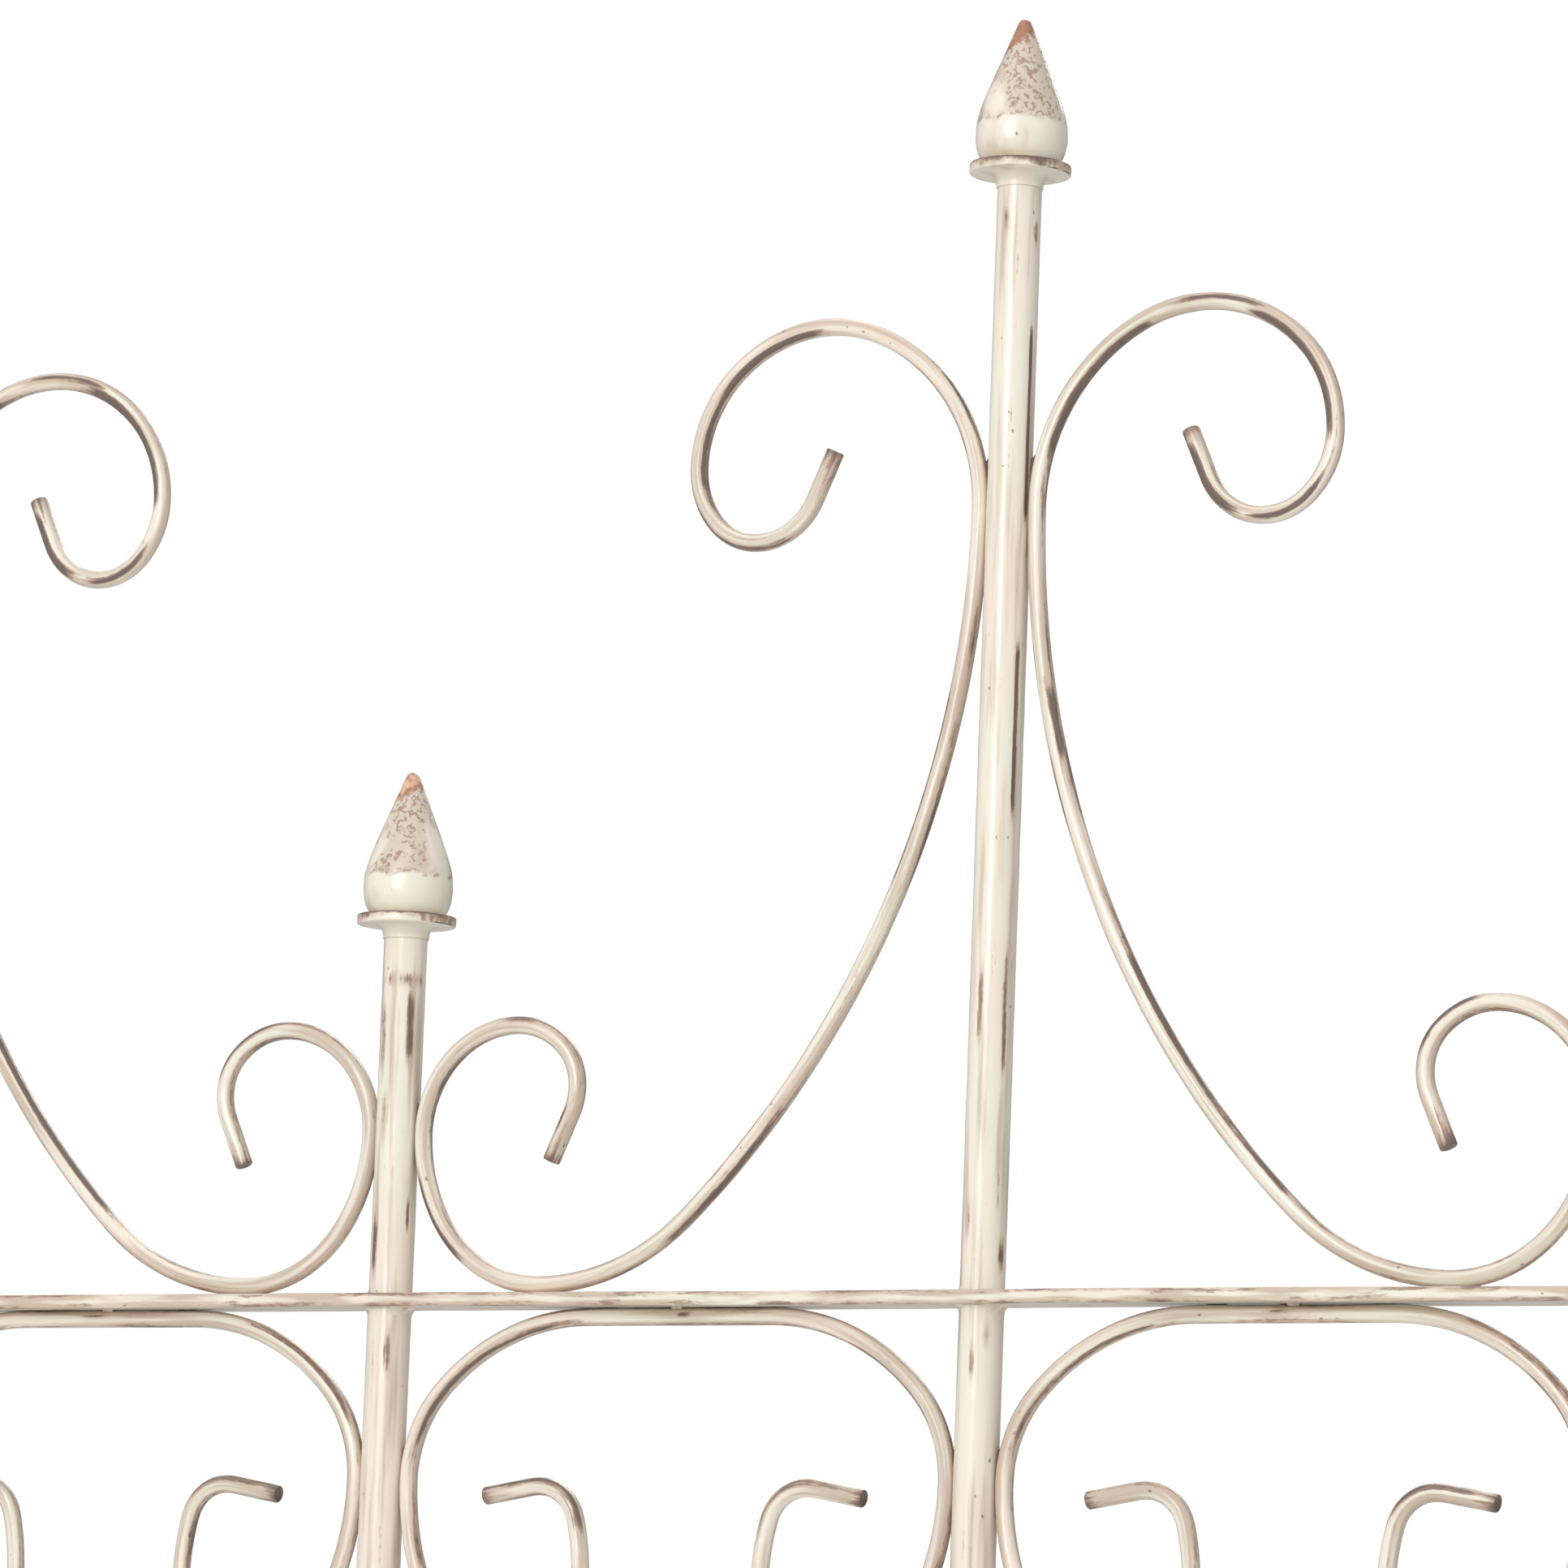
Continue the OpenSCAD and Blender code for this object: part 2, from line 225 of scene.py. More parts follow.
class Shape:
    """Gathers closed surfaces, each a stack of rings of points, into one mesh. Each point has
    its place along and across the grain, in metres, and a share of wear and painted shade."""

    def __init__(self):
        self.points = []
        self.faces = []
        self.grain = []
        self.rub_and_shade = []
        self.count = 0

    def stack(self, rings, grain, rub_and_shade, looped=False, mirrored=False):
        """Rings of equal length joined in order. A loop joins the last to the first, and an
        open stack is closed by a face at each end. Mirrored rings are turned round, with their
        grain, wear and painted shade, so that the faces still point outwards."""
        rows, sides = rings.shape[:2]
        rub_and_shade = np.broadcast_to(rub_and_shade, (rows, sides))
        if mirrored:
            rings, grain, rub_and_shade = rings[:, ::-1], grain[:, ::-1], rub_and_shade[:, ::-1]
        base = self.count
        for i in range(rows if looped else rows - 1):
            a = base + i * sides
            b = base + (i + 1) % rows * sides
            self.faces += [
                (a + j, a + (j + 1) % sides, b + (j + 1) % sides, b + j) for j in range(sides)
            ]
        if not looped:
            self.faces.append(tuple(range(base + sides - 1, base - 1, -1)))
            last = base + (rows - 1) * sides
            self.faces.append(tuple(range(last, last + sides)))
        self.points.append(rings.reshape(-1, 3))
        self.grain.append(grain.reshape(-1, 3))
        self.rub_and_shade.append(rub_and_shade.reshape(-1))
        self.count += rows * sides

    def make(self, name, material, sharp=50):
        mesh = bpy.data.meshes.new(name)
        mesh.from_pydata(np.concatenate(self.points).tolist(), [], self.faces)
        set_pattern(mesh, np.concatenate(self.grain), np.concatenate(self.rub_and_shade))
        return finish_piece(name, mesh, material, sharp)


def set_pattern(mesh, grain, rub_and_shade):
    mesh.attributes.new("grain", "FLOAT_VECTOR", "POINT").data.foreach_set(
        "vector", grain.astype(np.float32).ravel())
    mesh.attributes.new("rub_and_shade", "FLOAT", "POINT").data.foreach_set(
        "value", rub_and_shade.astype(np.float32).ravel())


def finish_piece(name, mesh, material, sharp):
    mesh.materials.append(material)
    mesh.shade_smooth()
    mesh.set_sharp_from_angle(angle=math.radians(sharp))
    piece = bpy.data.objects.new(name, mesh)
    bpy.context.scene.collection.objects.link(piece)
    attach(piece, "root")
    return piece


# ---- Rods ----------------------------------------------------------------------------------

ROD_SIDES = 24
# The cut end: depth below the end and share of the radius, from its dished middle outwards
CUT_END = [
    (0.0005, 0.02),
    (0.0004, 0.5),
    (0.0001, 0.72),
    (0.0, 0.86),
    (0.0002, 0.96),
    (0.0006, 1.0),
]
# Unevenness of the radius, as a share of it, and the size of its lumps
RIPPLE = 0.012
RIPPLE_SIZE = 0.012
SWELL = 0.02
SWELL_SIZE = 0.05
# Painted shade along the inside and outside of a rod's bends, the edges it shows from the
# front, and how much it varies from place to place
EDGE_SHADE = 0.33
EDGE_SHADE_PATCHES = 0.5
EDGE_SHADE_PATCH_SIZE = 0.035
# Wear at a cut end, and the distance in which it fades
END_WEAR = 0.75
END_FADE = 0.006
# A streak fades over this length at each end, and is full over this share of its half width
STREAK_FADE = 0.012
STREAK_CORE = 0.3


def travel_and_tangent(line):
    """The distance from the line's start and the unit direction, at each of its points."""
    steps = np.linalg.norm(np.diff(line, axis=0), axis=1)
    travel = np.concatenate([[0], np.cumsum(steps)])
    tangent = np.gradient(line, axis=0)
    return travel, tangent / np.linalg.norm(tangent, axis=1)[:, None]


def streak_wear(along, angle, streaks):
    """Wear from listed streaks: (from, to, angle round the rod, half width, strength)."""
    rub_and_shade = np.zeros(np.broadcast(along, angle).shape)
    for start, end, side, half, strength in streaks:
        fade = min(STREAK_FADE, (end - start) / 2)
        span = smooth(along, start, start + fade) * (1 - smooth(along, end - fade, end))
        off = np.abs((angle - side + 180) % 360 - 180)
        rub_and_shade = np.maximum(rub_and_shade, strength * span * (1 - smooth(off, half * STREAK_CORE, half)))
    return rub_and_shade


def add_rod(shape, line, radius, place, seed, streaks=()):
    """Sweeps a round section along a line of [x, z] points. place maps it into the frame."""
    travel, tangent = travel_and_tangent(line)
    length = travel[-1]
    stations = []
    for depth, share in CUT_END:
        stations.append((line[0] + tangent[0] * depth, tangent[0], depth, share))
    clear_of_end = CUT_END[-1][0] + ARC_STEP / 3
    for point, heading, distance in zip(line, tangent, travel):
        if clear_of_end < distance < length - clear_of_end:
            stations.append((point, heading, distance, 1.0))
    for depth, share in reversed(CUT_END):
        stations.append((line[-1] - tangent[-1] * depth, tangent[-1], length - depth, share))
    centres = np.array([s[0] for s in stations])
    along = np.array([s[2] for s in stations])
    shares = np.array([s[3] for s in stations])
    normal = np.array([(-s[1][1], s[1][0]) for s in stations])
    turn = np.radians(np.arange(ROD_SIDES) * 360 / ROD_SIDES)
    cosine, sine = np.cos(turn), np.sin(turn)
    grain = np.stack([
        np.broadcast_to(along[:, None] + seed * 1.7, (len(along), ROD_SIDES)),
        radius * shares[:, None] * cosine,
        radius * shares[:, None] * sine,
    ], axis=-1)
    swell = 1 + RIPPLE * lumps(grain, RIPPLE_SIZE, seed)
    swell = (swell + SWELL * lumps(grain, SWELL_SIZE, seed + 3)) * shares[:, None]
    sideways = radius * swell[..., None] * cosine[None, :, None]
    flat = centres[:, None, :] + sideways * normal[:, None, :]
    depth = radius * swell * sine
    from_end = np.minimum(along, length - along)[:, None]
    angle = np.degrees(turn)[None, :]
    # Painted shade on the rod's two edges, made patchy, stored with its wear
    sides = smooth(np.abs(cosine), 0.45, 0.95)[None, :]
    patches = lumps(grain * [1, 2, 2], EDGE_SHADE_PATCH_SIZE, seed + 6)
    sides = sides * (EDGE_SHADE + EDGE_SHADE_PATCHES * patches)
    rub_and_shade = np.maximum(sides, streak_wear(along[:, None], angle, streaks))
    rub_and_shade = np.maximum(rub_and_shade, END_WEAR * np.exp(-from_end / END_FADE))
    rub_and_shade = np.maximum(rub_and_shade, smooth(1 - shares, 0.0, 0.2)[:, None])
    rings = place(flat[..., 0], depth, flat[..., 1])
    shape.stack(rings, grain, rub_and_shade, mirrored=place.mirrored)


def placed(x, z, flip_x=1, flip_z=1):
    """Maps the drawing plane into the frame, mirrored where a flip is -1."""
    def place(across, depth, up):
        return np.stack([x + flip_x * across, depth, z + flip_z * up], axis=-1)
    place.mirrored = flip_x * flip_z < 0
    return place


# ---- Materials -----------------------------------------------------------------------------

def paint(red, green, blue):
    """Display values from 0 to 255 as a linear colour."""
    def linear(v):
        v /= 255
        return v / 12.92 if v <= 0.04045 else ((v + 0.055) / 1.055) ** 2.4
    return (linear(red), linear(green), linear(blue), 1)


GREEN_CREAM = paint(224, 219, 204)
PINK_CREAM = paint(226, 213, 200)
TAN = paint(184, 164, 147)
BROWN = paint(146, 120, 104)
DARK_BROWN = paint(76, 57, 49)
RUST = paint(156, 103, 72)
PALE_RUST = paint(212, 168, 134)
FLOOR_LIGHT = paint(243, 243, 241)
FLOOR_DARK = paint(238, 238, 236)

BUMP_DEPTH = 0.0002
# How much each colour covers what is under it
STAIN_COVER = 0.85
WEAR_COVER = 0.86
SPECKLE_COVER = 0.62
WORM_COVER = 0.85
RIM_SPOT_COVER = 0.75
RUST_COVER = 0.92
PIT_COVER = 0.65
# How much the rub of a piece, which holds its wear and its painted shade, adds to the noise
# that decides where it is stained or worn
RUB_AND_SHADE_IN_STAIN = 0.42
RUB_AND_SHADE_IN_WEAR = 0.48


class Nodes:
    """Builds a material's nodes. An input is a number, a colour, a vector or another output."""

    def __init__(self, name):
        self.material = bpy.data.materials.new(name)
        self.material.use_nodes = True
        self.tree = self.material.node_tree
        self.tree.nodes.clear()

    def add(self, kind, inputs=(), **settings):
        node = self.tree.nodes.new(kind)
        for key, value in settings.items():
            setattr(node, key, value)
        for key, value in dict(inputs).items():
            if isinstance(value, bpy.types.NodeSocket):
                self.tree.links.new(value, node.inputs[key])
            else:
                node.inputs[key].default_value = value
        return node

    def attribute(self, name, output):
        return self.add("ShaderNodeAttribute", attribute_name=name).outputs[output]

    def stretched(self, vector, scale):
        return self.add("ShaderNodeMapping", {"Vector": vector, "Scale": scale}).outputs[0]

    def noise(self, vector, scale=1.0, detail=2.0, roughness=0.5):
        inputs = {"Vector": vector, "Scale": scale, "Detail": detail, "Roughness": roughness}
        return self.add("ShaderNodeTexNoise", inputs).outputs["Fac"]

    def math(self, operation, first, second=0.5, third=0.5):
        inputs = {0: first, 1: second, 2: third}
        return self.add("ShaderNodeMath", inputs, operation=operation).outputs[0]

    def multiply(self, first, second):
        return self.math("MULTIPLY", first, second)

    def scale_add(self, value, factor, base):
        return self.math("MULTIPLY_ADD", value, factor, base)

    def subtract(self, first, second):
        return self.math("SUBTRACT", first, second)

    def step(self, value, low, high, start=0.0, end=1.0):
        """Goes smoothly from start to end while the value goes from low to high."""
        inputs = {"Value": value, "From Min": low, "From Max": high, "To Min": start, "To Max": end}
        node = self.add("ShaderNodeMapRange", inputs, interpolation_type="SMOOTHSTEP")
        return node.outputs[0]

    def mix(self, factor, first, second):
        node = self.add("ShaderNodeMix", data_type="RGBA")
        sockets = (node.inputs[0], node.inputs[6], node.inputs[7])
        for socket, value in zip(sockets, (factor, first, second)):
            if isinstance(value, bpy.types.NodeSocket):
                self.tree.links.new(value, socket)
            else:
                socket.default_value = value
        return node.outputs[2]

    def surface(self, colour, roughness, height):
        """A lightly clear-coated surface."""
        relief = {"Height": height, "Strength": 1.0, "Distance": BUMP_DEPTH}
        bump = self.add("ShaderNodeBump", relief)
        shader = self.add("ShaderNodeBsdfPrincipled", {
            "Base Color": colour, "Roughness": roughness, "Normal": bump.outputs[0],
            "IOR": 1.5, "Coat Weight": 0.28, "Coat Roughness": 0.1, "Coat IOR": 1.5,
        })
        output = self.add("ShaderNodeOutputMaterial")
        self.tree.links.new(shader.outputs[0], output.inputs["Surface"])
        return self.material


def enamel(name, across, along, worn, stained, casting=False):
    """Cream enamel rubbed along the grain. across and along are the streaks' features in a
    metre, and worn and stained shift how much of the surface is brown or tan."""
    n = Nodes(name)
    place = n.add("ShaderNodeTexCoord").outputs["Object"]
    grain = n.attribute("grain", "Vector")
    rub_and_shade = n.attribute("rub_and_shade", "Fac")
    tone = n.step(n.noise(place, scale=11, detail=3), 0.38, 0.62)
    colour = n.mix(tone, GREEN_CREAM, PINK_CREAM)

    stain = n.noise(n.stretched(grain, (along * 0.7, across * 0.7, across * 0.7)), detail=3)
    # Tan is stain, and painted shade where the rub holds it: rod and rail edges, weld crevices
    stain = n.scale_add(rub_and_shade, RUB_AND_SHADE_IN_STAIN, stain)
    stain_and_shade_mask = n.step(stain, 0.53 - stained, 0.80 - stained)
    colour = n.mix(n.multiply(stain_and_shade_mask, STAIN_COVER), colour, TAN)

    streak = n.noise(n.stretched(grain, (along, across, across)), detail=5, roughness=0.62)
    crumble = n.noise(n.stretched(grain, (260, 620, 620)), detail=3, roughness=0.6)
    ragged = n.scale_add(n.subtract(crumble, 0.5), 0.30, streak)
    # Brown is wear, and painted shade where the rub holds it: rod and rail edges, weld crevices
    wear = n.scale_add(rub_and_shade, RUB_AND_SHADE_IN_WEAR, ragged)
    wear_and_shade_mask = n.step(wear, 0.66 - worn, 0.78 - worn)
    deep = n.step(n.scale_add(rub_and_shade, 0.10, wear), 0.78 - worn, 0.98 - worn)
    bare = n.mix(deep, BROWN, DARK_BROWN)
    colour = n.mix(n.multiply(wear_and_shade_mask, WEAR_COVER), colour, bare)
    soft_streak = n.noise(n.stretched(grain, (along, across, across)), detail=0.5)
    soft_wear = n.scale_add(rub_and_shade, RUB_AND_SHADE_IN_WEAR, soft_streak)
    height = n.step(soft_wear, 0.58 - worn, 0.90 - worn, start=0, end=-0.35)

    if casting:
        colour, height = weathered_casting(n, place, colour, height)

    pit_cells = {"Vector": n.stretched(grain, (150, 230, 230)), "Scale": 1.0}
    cells = n.add("ShaderNodeTexVoronoi", pit_cells)
    chosen = n.add("ShaderNodeSeparateColor", {0: cells.outputs["Color"]}).outputs[0]
    pit_edge = n.noise(place, scale=900, detail=2)
    ragged_pit = n.scale_add(pit_edge, 0.22, cells.outputs["Distance"])
    few = n.math("GREATER_THAN", chosen, 0.84)
    pit = n.multiply(n.step(ragged_pit, 0.16, 0.25, start=1, end=0), few)
    colour = n.mix(n.multiply(pit, PIT_COVER), colour, DARK_BROWN)
    peel = n.noise(place, scale=150, detail=1)
    height = n.scale_add(peel, 0.35, n.scale_add(pit, -0.7, height))
    roughness = n.step(wear_and_shade_mask, 0, 1, start=0.32, end=0.52)
    return n.surface(colour, roughness, height)


def weathered_casting(n, place, colour, height):
    """Adds brown worm-like marks on a finial's cone, spots round its foot, and a rusted tip.
    The attributes tip and cone say where, and age how strongly."""
    tip = n.attribute("tip", "Fac")
    cone = n.attribute("cone", "Fac")
    age = n.attribute("age", "Fac")

    patches = n.noise(n.stretched(place, (75, 75, 32)), detail=2)
    patches = n.scale_add(age, 0.10, patches)
    speckled = n.multiply(n.step(patches, 0.42, 0.60), cone)
    colour = n.mix(n.multiply(speckled, SPECKLE_COVER), colour, TAN)

    worms = n.noise(place, scale=270, detail=2.5, roughness=0.55)
    off_line = n.math("ABSOLUTE", n.subtract(worms, 0.5))
    worm_line = n.step(off_line, 0.015, 0.07, start=1, end=0)
    broken = n.step(n.noise(place, scale=340, detail=2), 0.40, 0.56)
    dashes = n.multiply(worm_line, broken)
    worm_mask = n.multiply(n.multiply(dashes, speckled), WORM_COVER)

    rim_line = n.multiply(n.multiply(cone, n.subtract(1.0, cone)), 4.0)
    rim_spots = n.step(n.noise(place, scale=300, detail=2), 0.46, 0.58)
    rim_mask = n.multiply(n.multiply(rim_line, rim_spots), RIM_SPOT_COVER)
    worm_mask = n.math("MAXIMUM", worm_mask, rim_mask)
    colour = n.mix(worm_mask, colour, BROWN)

    frayed = n.subtract(n.noise(place, scale=210, detail=4, roughness=0.6), 0.5)
    rusted = n.step(n.scale_add(frayed, 1.5, tip), 0.36, 0.54)
    rust_tone = n.scale_add(age, 0.30, n.noise(place, scale=240, detail=2))
    rust = n.mix(n.step(rust_tone, 0.50, 0.74), PALE_RUST, RUST)
    colour = n.mix(n.multiply(rusted, RUST_COVER), colour, rust)
    rust_border = n.multiply(n.multiply(rusted, n.subtract(1.0, rusted)), 2.4)
    colour = n.mix(rust_border, colour, BROWN)
    return colour, n.subtract(height, n.multiply(worm_mask, 0.9))


TUBE = enamel("tube_enamel", across=400, along=20, worn=0.02, stained=0.06)
RAIL = enamel("rail_enamel", across=380, along=45, worn=0.02, stained=0.10)
ROD = enamel("rod_enamel", across=520, along=22, worn=0.02, stained=0.14)
CAST = enamel("cast_enamel", across=120, along=60, worn=-0.02, stained=0.0, casting=True)
FOOT = enamel("foot_enamel", across=120, along=30, worn=0.05, stained=0.06)


# ---- Lathed pieces -------------------------------------------------------------------------

LATHE_SIDES = 64
LATHE_ANGLES = np.arange(LATHE_SIDES) * 360 / LATHE_SIDES


def add_lathe(shape, profile, x, seed, wobble=0.0001, rub_and_shade=0.0, looped=False):
    """Turns [radius, z] points about the axis at x. rub is each point's share of wear and
    painted shade, and wobble the depth of the surface's unevenness."""
    profile = np.array(profile)
    turn = np.radians(LATHE_ANGLES)
    r, z = profile[:, 0], profile[:, 1]
    local = np.stack([
        r[:, None] * np.cos(turn),
        r[:, None] * np.sin(turn),
        np.broadcast_to(z[:, None], (len(z), LATHE_SIDES)),
    ], axis=-1)
    size = wobble * (lumps(local, 0.012, seed) + 0.6 * lumps(local, 0.004, seed + 5))
    swell = 1 + size / np.maximum(r, 0.001)[:, None]
    rings = local * np.stack([swell, swell, np.ones_like(swell)], axis=-1) + [x, 0, 0]
    grain = np.stack([local[..., 2] + seed * 1.9, local[..., 0], local[..., 1]], axis=-1)
    shape.stack(rings, grain, rub_and_shade, looped)
    return rings


def ellipse(centre, across, up, from_angle, to_angle, steps):
    angles = np.radians(np.linspace(from_angle, to_angle, steps + 1))
    return [(centre[0] + across * math.cos(a), centre[1] + up * math.sin(a)) for a in angles]


FINIAL_H = 0.0535
BELLY_R = 0.0165
BELLY_H = 0.010
SEAT_R = 0.012
TIP_R = 0.0026
TAPER = math.radians(22)
BELLY_HANDLE = 0.2
TIP_HANDLE = 0.7
SPIGOT_GAP = 0.00015
SPIGOT_R = POST_R - POST_WALL - SPIGOT_GAP
SPIGOT_EDGE = 0.0005
# Lathed ends stop this far from the axis and are closed by a tiny face
POLE_R = 0.0001
# The rust's span below the tip, and how much lower it reaches on the left than in front, at the
# belly's radius
RUST_FROM = FINIAL_H - 0.017
RUST_FULL = FINIAL_H - 0.002
TIP_LEAN = 0.014
# The line between the plain belly and the speckled cone, and its raggedness
CONE_FROM = 0.0135
CONE_FULL = 0.0160
CONE_RAGGED = 0.0025
CAST_WOBBLE = 0.00016
TALL_AGE = 1.0
SHORT_AGE = 0.3


def finial_profile():
    flank_top = np.array([TIP_R * math.cos(TAPER), FINIAL_H - TIP_R * (1 - math.sin(TAPER))])
    flank_len = FINIAL_H - BELLY_H
    controls = [
        np.array([BELLY_R, BELLY_H]),
        np.array([BELLY_R, BELLY_H + BELLY_HANDLE * flank_len]),
        flank_top + TIP_HANDLE * flank_len * np.array([math.sin(TAPER), -math.cos(TAPER)]),
        flank_top,
    ]
    flank = []
    for t in np.linspace(0, 1, 57)[1:-1]:
        weights = [(1 - t) ** 3, 3 * t * (1 - t) ** 2, 3 * t * t * (1 - t), t ** 3]
        flank.append(tuple(sum(w * c for w, c in zip(weights, controls))))
    belly = [(SEAT_R + (BELLY_R - SEAT_R) * math.sin(a), BELLY_H * (1 - math.cos(a)))
             for a in np.radians(np.linspace(0, 90, 19))]
    top_centre = (0, FINIAL_H - TIP_R)
    top = ellipse(top_centre, TIP_R, TIP_R, math.degrees(TAPER), 88, 8)
    return belly + flank + top


def make_finial(name, seed):
    low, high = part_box("finial_" + name)
    base = high.z - FINIAL_H
    x = middle("finial_" + name).x
    spigot = [
        (POLE_R, low.z),
        (SPIGOT_R - SPIGOT_EDGE, low.z),
        (SPIGOT_R, low.z + SPIGOT_EDGE),
        (SPIGOT_R, base),
    ]
    outline = [(r, base + z) for r, z in finial_profile()] + [(POLE_R, high.z)]
    shape = Shape()
    rings = add_lathe(shape, spigot + outline, x, seed, wobble=CAST_WOBBLE)
    piece = shape.make("cast_finial_" + name, CAST, sharp=60)
    heights = rings[..., 2].ravel() - base
    lean = TIP_LEAN * (rings[..., 0] - x).ravel() / (rings[..., 0].max() - x)
    tip = smooth(heights - lean, RUST_FROM, RUST_FULL)
    ragged = CONE_RAGGED * lumps(rings, 0.005, seed + 9).ravel()
    cone = smooth(heights + ragged, CONE_FROM, CONE_FULL)
    age = np.full(len(heights), TALL_AGE if name in TALL_POSTS else SHORT_AGE)
    for attribute, values in (("tip", tip), ("cone", cone), ("age", age)):
        data = piece.data.attributes.new(attribute, "FLOAT", "POINT").data
        data.foreach_set("value", values.astype(np.float32))
    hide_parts("finial_" + name)


COLLAR_RIM = 0.0036
COLLAR_EDGE = 0.0006
COLLAR_COVE = 0.005
COLLAR_COVE_W = 0.002
COLLAR_LIP = 0.0003
SLEEVE_GAP = 0.00015
SLEEVE_R = POST_R + SLEEVE_GAP
RIM_LINE_WEAR = 0.95
# Worn patches on the rim: from and to above its underside, then as on the posts
COLLAR_STREAKS = [
    (-0.001, 0.005, -32, 24, 0.9),
    (-0.001, 0.005, -118, 16, 0.7),
    (-0.001, 0.005, 20, 16, 0.7),
    (-0.001, 0.005, 100, 28, 0.7),
    (-0.001, 0.0012, -5, 40, 0.8),
]


def make_collar(name, seed):
    low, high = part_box("collar_" + name)
    centre = middle("collar_" + name)
    edge_r = half_width("collar_" + name) - COLLAR_EDGE
    lip_r = SLEEVE_R + COLLAR_LIP
    under = high.z - COLLAR_RIM
    top = [(r, high.z) for r in np.linspace(POST_R - POST_WALL, edge_r, 8)]
    top_edge = ellipse((edge_r, high.z - COLLAR_EDGE), COLLAR_EDGE, COLLAR_EDGE, 80, 0, 6)
    low_edge = ellipse((edge_r, under + COLLAR_EDGE), COLLAR_EDGE, COLLAR_EDGE, 0, -90, 6)
    flat = [(r, under) for r in np.linspace(edge_r, lip_r + COLLAR_COVE_W, 6)[1:-1]]
    cove = [(lip_r + COLLAR_COVE_W * (1 - math.sin(a)), under - COLLAR_COVE * (1 - math.cos(a)))
            for a in np.radians(np.linspace(0, 90, 10))]
    inside = [(SLEEVE_R, low.z), (SLEEVE_R, under), (POST_R - POST_WALL, under)]
    profile = (top + top_edge + low_edge + flat + cove + inside)[::-1]
    r, z = np.array(profile).T[..., None]
    angles = LATHE_ANGLES[None, :]
    top_line = smooth(r, edge_r - 0.0006, edge_r + 0.0002)
    top_line = top_line * smooth(z, high.z - 0.0011, high.z - 0.0003)
    on_rim = smooth(r, edge_r - 0.0003, edge_r + 0.0004)
    patches = on_rim * streak_wear(z - under, angles, COLLAR_STREAKS)
    wear = np.maximum(RIM_LINE_WEAR * top_line, patches)
    shape = Shape()
    add_lathe(shape, profile, centre.x, seed, wobble=CAST_WOBBLE, rub_and_shade=wear, looped=True)
    piece = shape.make("disc_collar_" + name, CAST, sharp=55)
    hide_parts("collar_" + name)


POST_RING = 0.004
POST_EDGE = 0.0003
# Worn streaks on the posts: from and to, above the crest rail, then the angle round the post
# from +X, the half width in degrees, and the strength
TALL_STREAKS = [
    (0.380, 0.392, -97, 14, 0.6),
    (0.374, 0.389, -12, 14, 0.5),
    (0.272, 0.352, -14, 10, 0.95),
    (0.165, 0.238, -24, 10, 1.0),
    (0.075, 0.130, -27, 9, 0.6),
    (0.085, 0.122, -94, 10, 0.55),
    (0.018, 0.036, -110, 12, 0.5),
    (0.006, 0.024, -10, 16, 0.9),
    (-0.022, -0.006, -48, 14, 0.5),
    (-0.034, -0.012, -85, 12, 0.5),
]
SHORT_STREAKS = [
    (0.116, 0.122, -60, 85, 0.55),
    (0.082, 0.120, -36, 16, 0.85),
    (0.078, 0.116, -118, 16, 0.65),
    (0.053, 0.082, -98, 14, 0.45),
    (0.020, 0.044, -20, 10, 0.75),
    (0.006, 0.036, -115, 14, 0.9),
    (-0.032, -0.005, -62, 18, 0.5),
]


def make_post(name, seed):
    low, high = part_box("post_" + name)
    x = middle("post_" + name).x
    count = round((high.z - low.z) / POST_RING)
    outer = [(POST_R - POST_EDGE, low.z)]
    outer += [(POST_R, z) for z in np.linspace(low.z + POST_EDGE, high.z - POST_EDGE, count)]
    outer += [(POST_R - POST_EDGE, high.z)]
    bore = POST_R - POST_WALL
    profile = outer + [(bore, high.z), (bore, low.z)]
    heights = np.array([z for r, z in profile])[:, None] - CREST_H
    angles = LATHE_ANGLES[None, :]
    streaks = TALL_STREAKS if name in TALL_POSTS else SHORT_STREAKS
    rub_and_shade = streak_wear(heights, angles, streaks)
    shape = Shape()
    add_lathe(shape, profile, x, seed, wobble=0.00009, rub_and_shade=rub_and_shade, looped=True)
    piece = shape.make("tube_post_" + name, TUBE)
    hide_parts("post_" + name)


STAKE_R = 0.005
STAKE_TIP_R = 0.0008
STAKE_POINT = 0.030
STAKE_SHOULDER = 0.003
STAKE_EDGE = 0.0004


def make_stake(name, seed):
    low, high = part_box("stake_" + name)
    x = middle("stake_" + name).x
    tip_z = low.z + STAKE_EDGE
    profile = [(POLE_R, low.z), (STAKE_TIP_R, tip_z)]
    profile += [
        (STAKE_TIP_R + (STAKE_R - STAKE_TIP_R) * t, tip_z + (STAKE_POINT - STAKE_EDGE) * t)
        for t in np.linspace(0, 1, 8)[1:]
    ]
    profile += [(STAKE_R, z) for z in np.linspace(low.z + STAKE_POINT, 0, 20)[1:-1]]
    profile += [
        (STAKE_R, -STAKE_EDGE / 2),
        (POST_R - STAKE_EDGE, 0),
        (POST_R, STAKE_EDGE),
        (POST_R, STAKE_SHOULDER - STAKE_EDGE),
        (POST_R - STAKE_EDGE, STAKE_SHOULDER),
        (SPIGOT_R, STAKE_SHOULDER),
        (SPIGOT_R, high.z),
        (POLE_R, high.z),
    ]
    shape = Shape()
    add_lathe(shape, profile, x, seed, wobble=0.00012)
    piece = shape.make("ground_stake_" + name, FOOT)
    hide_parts("stake_" + name)


PLUG_DOME = 0.004


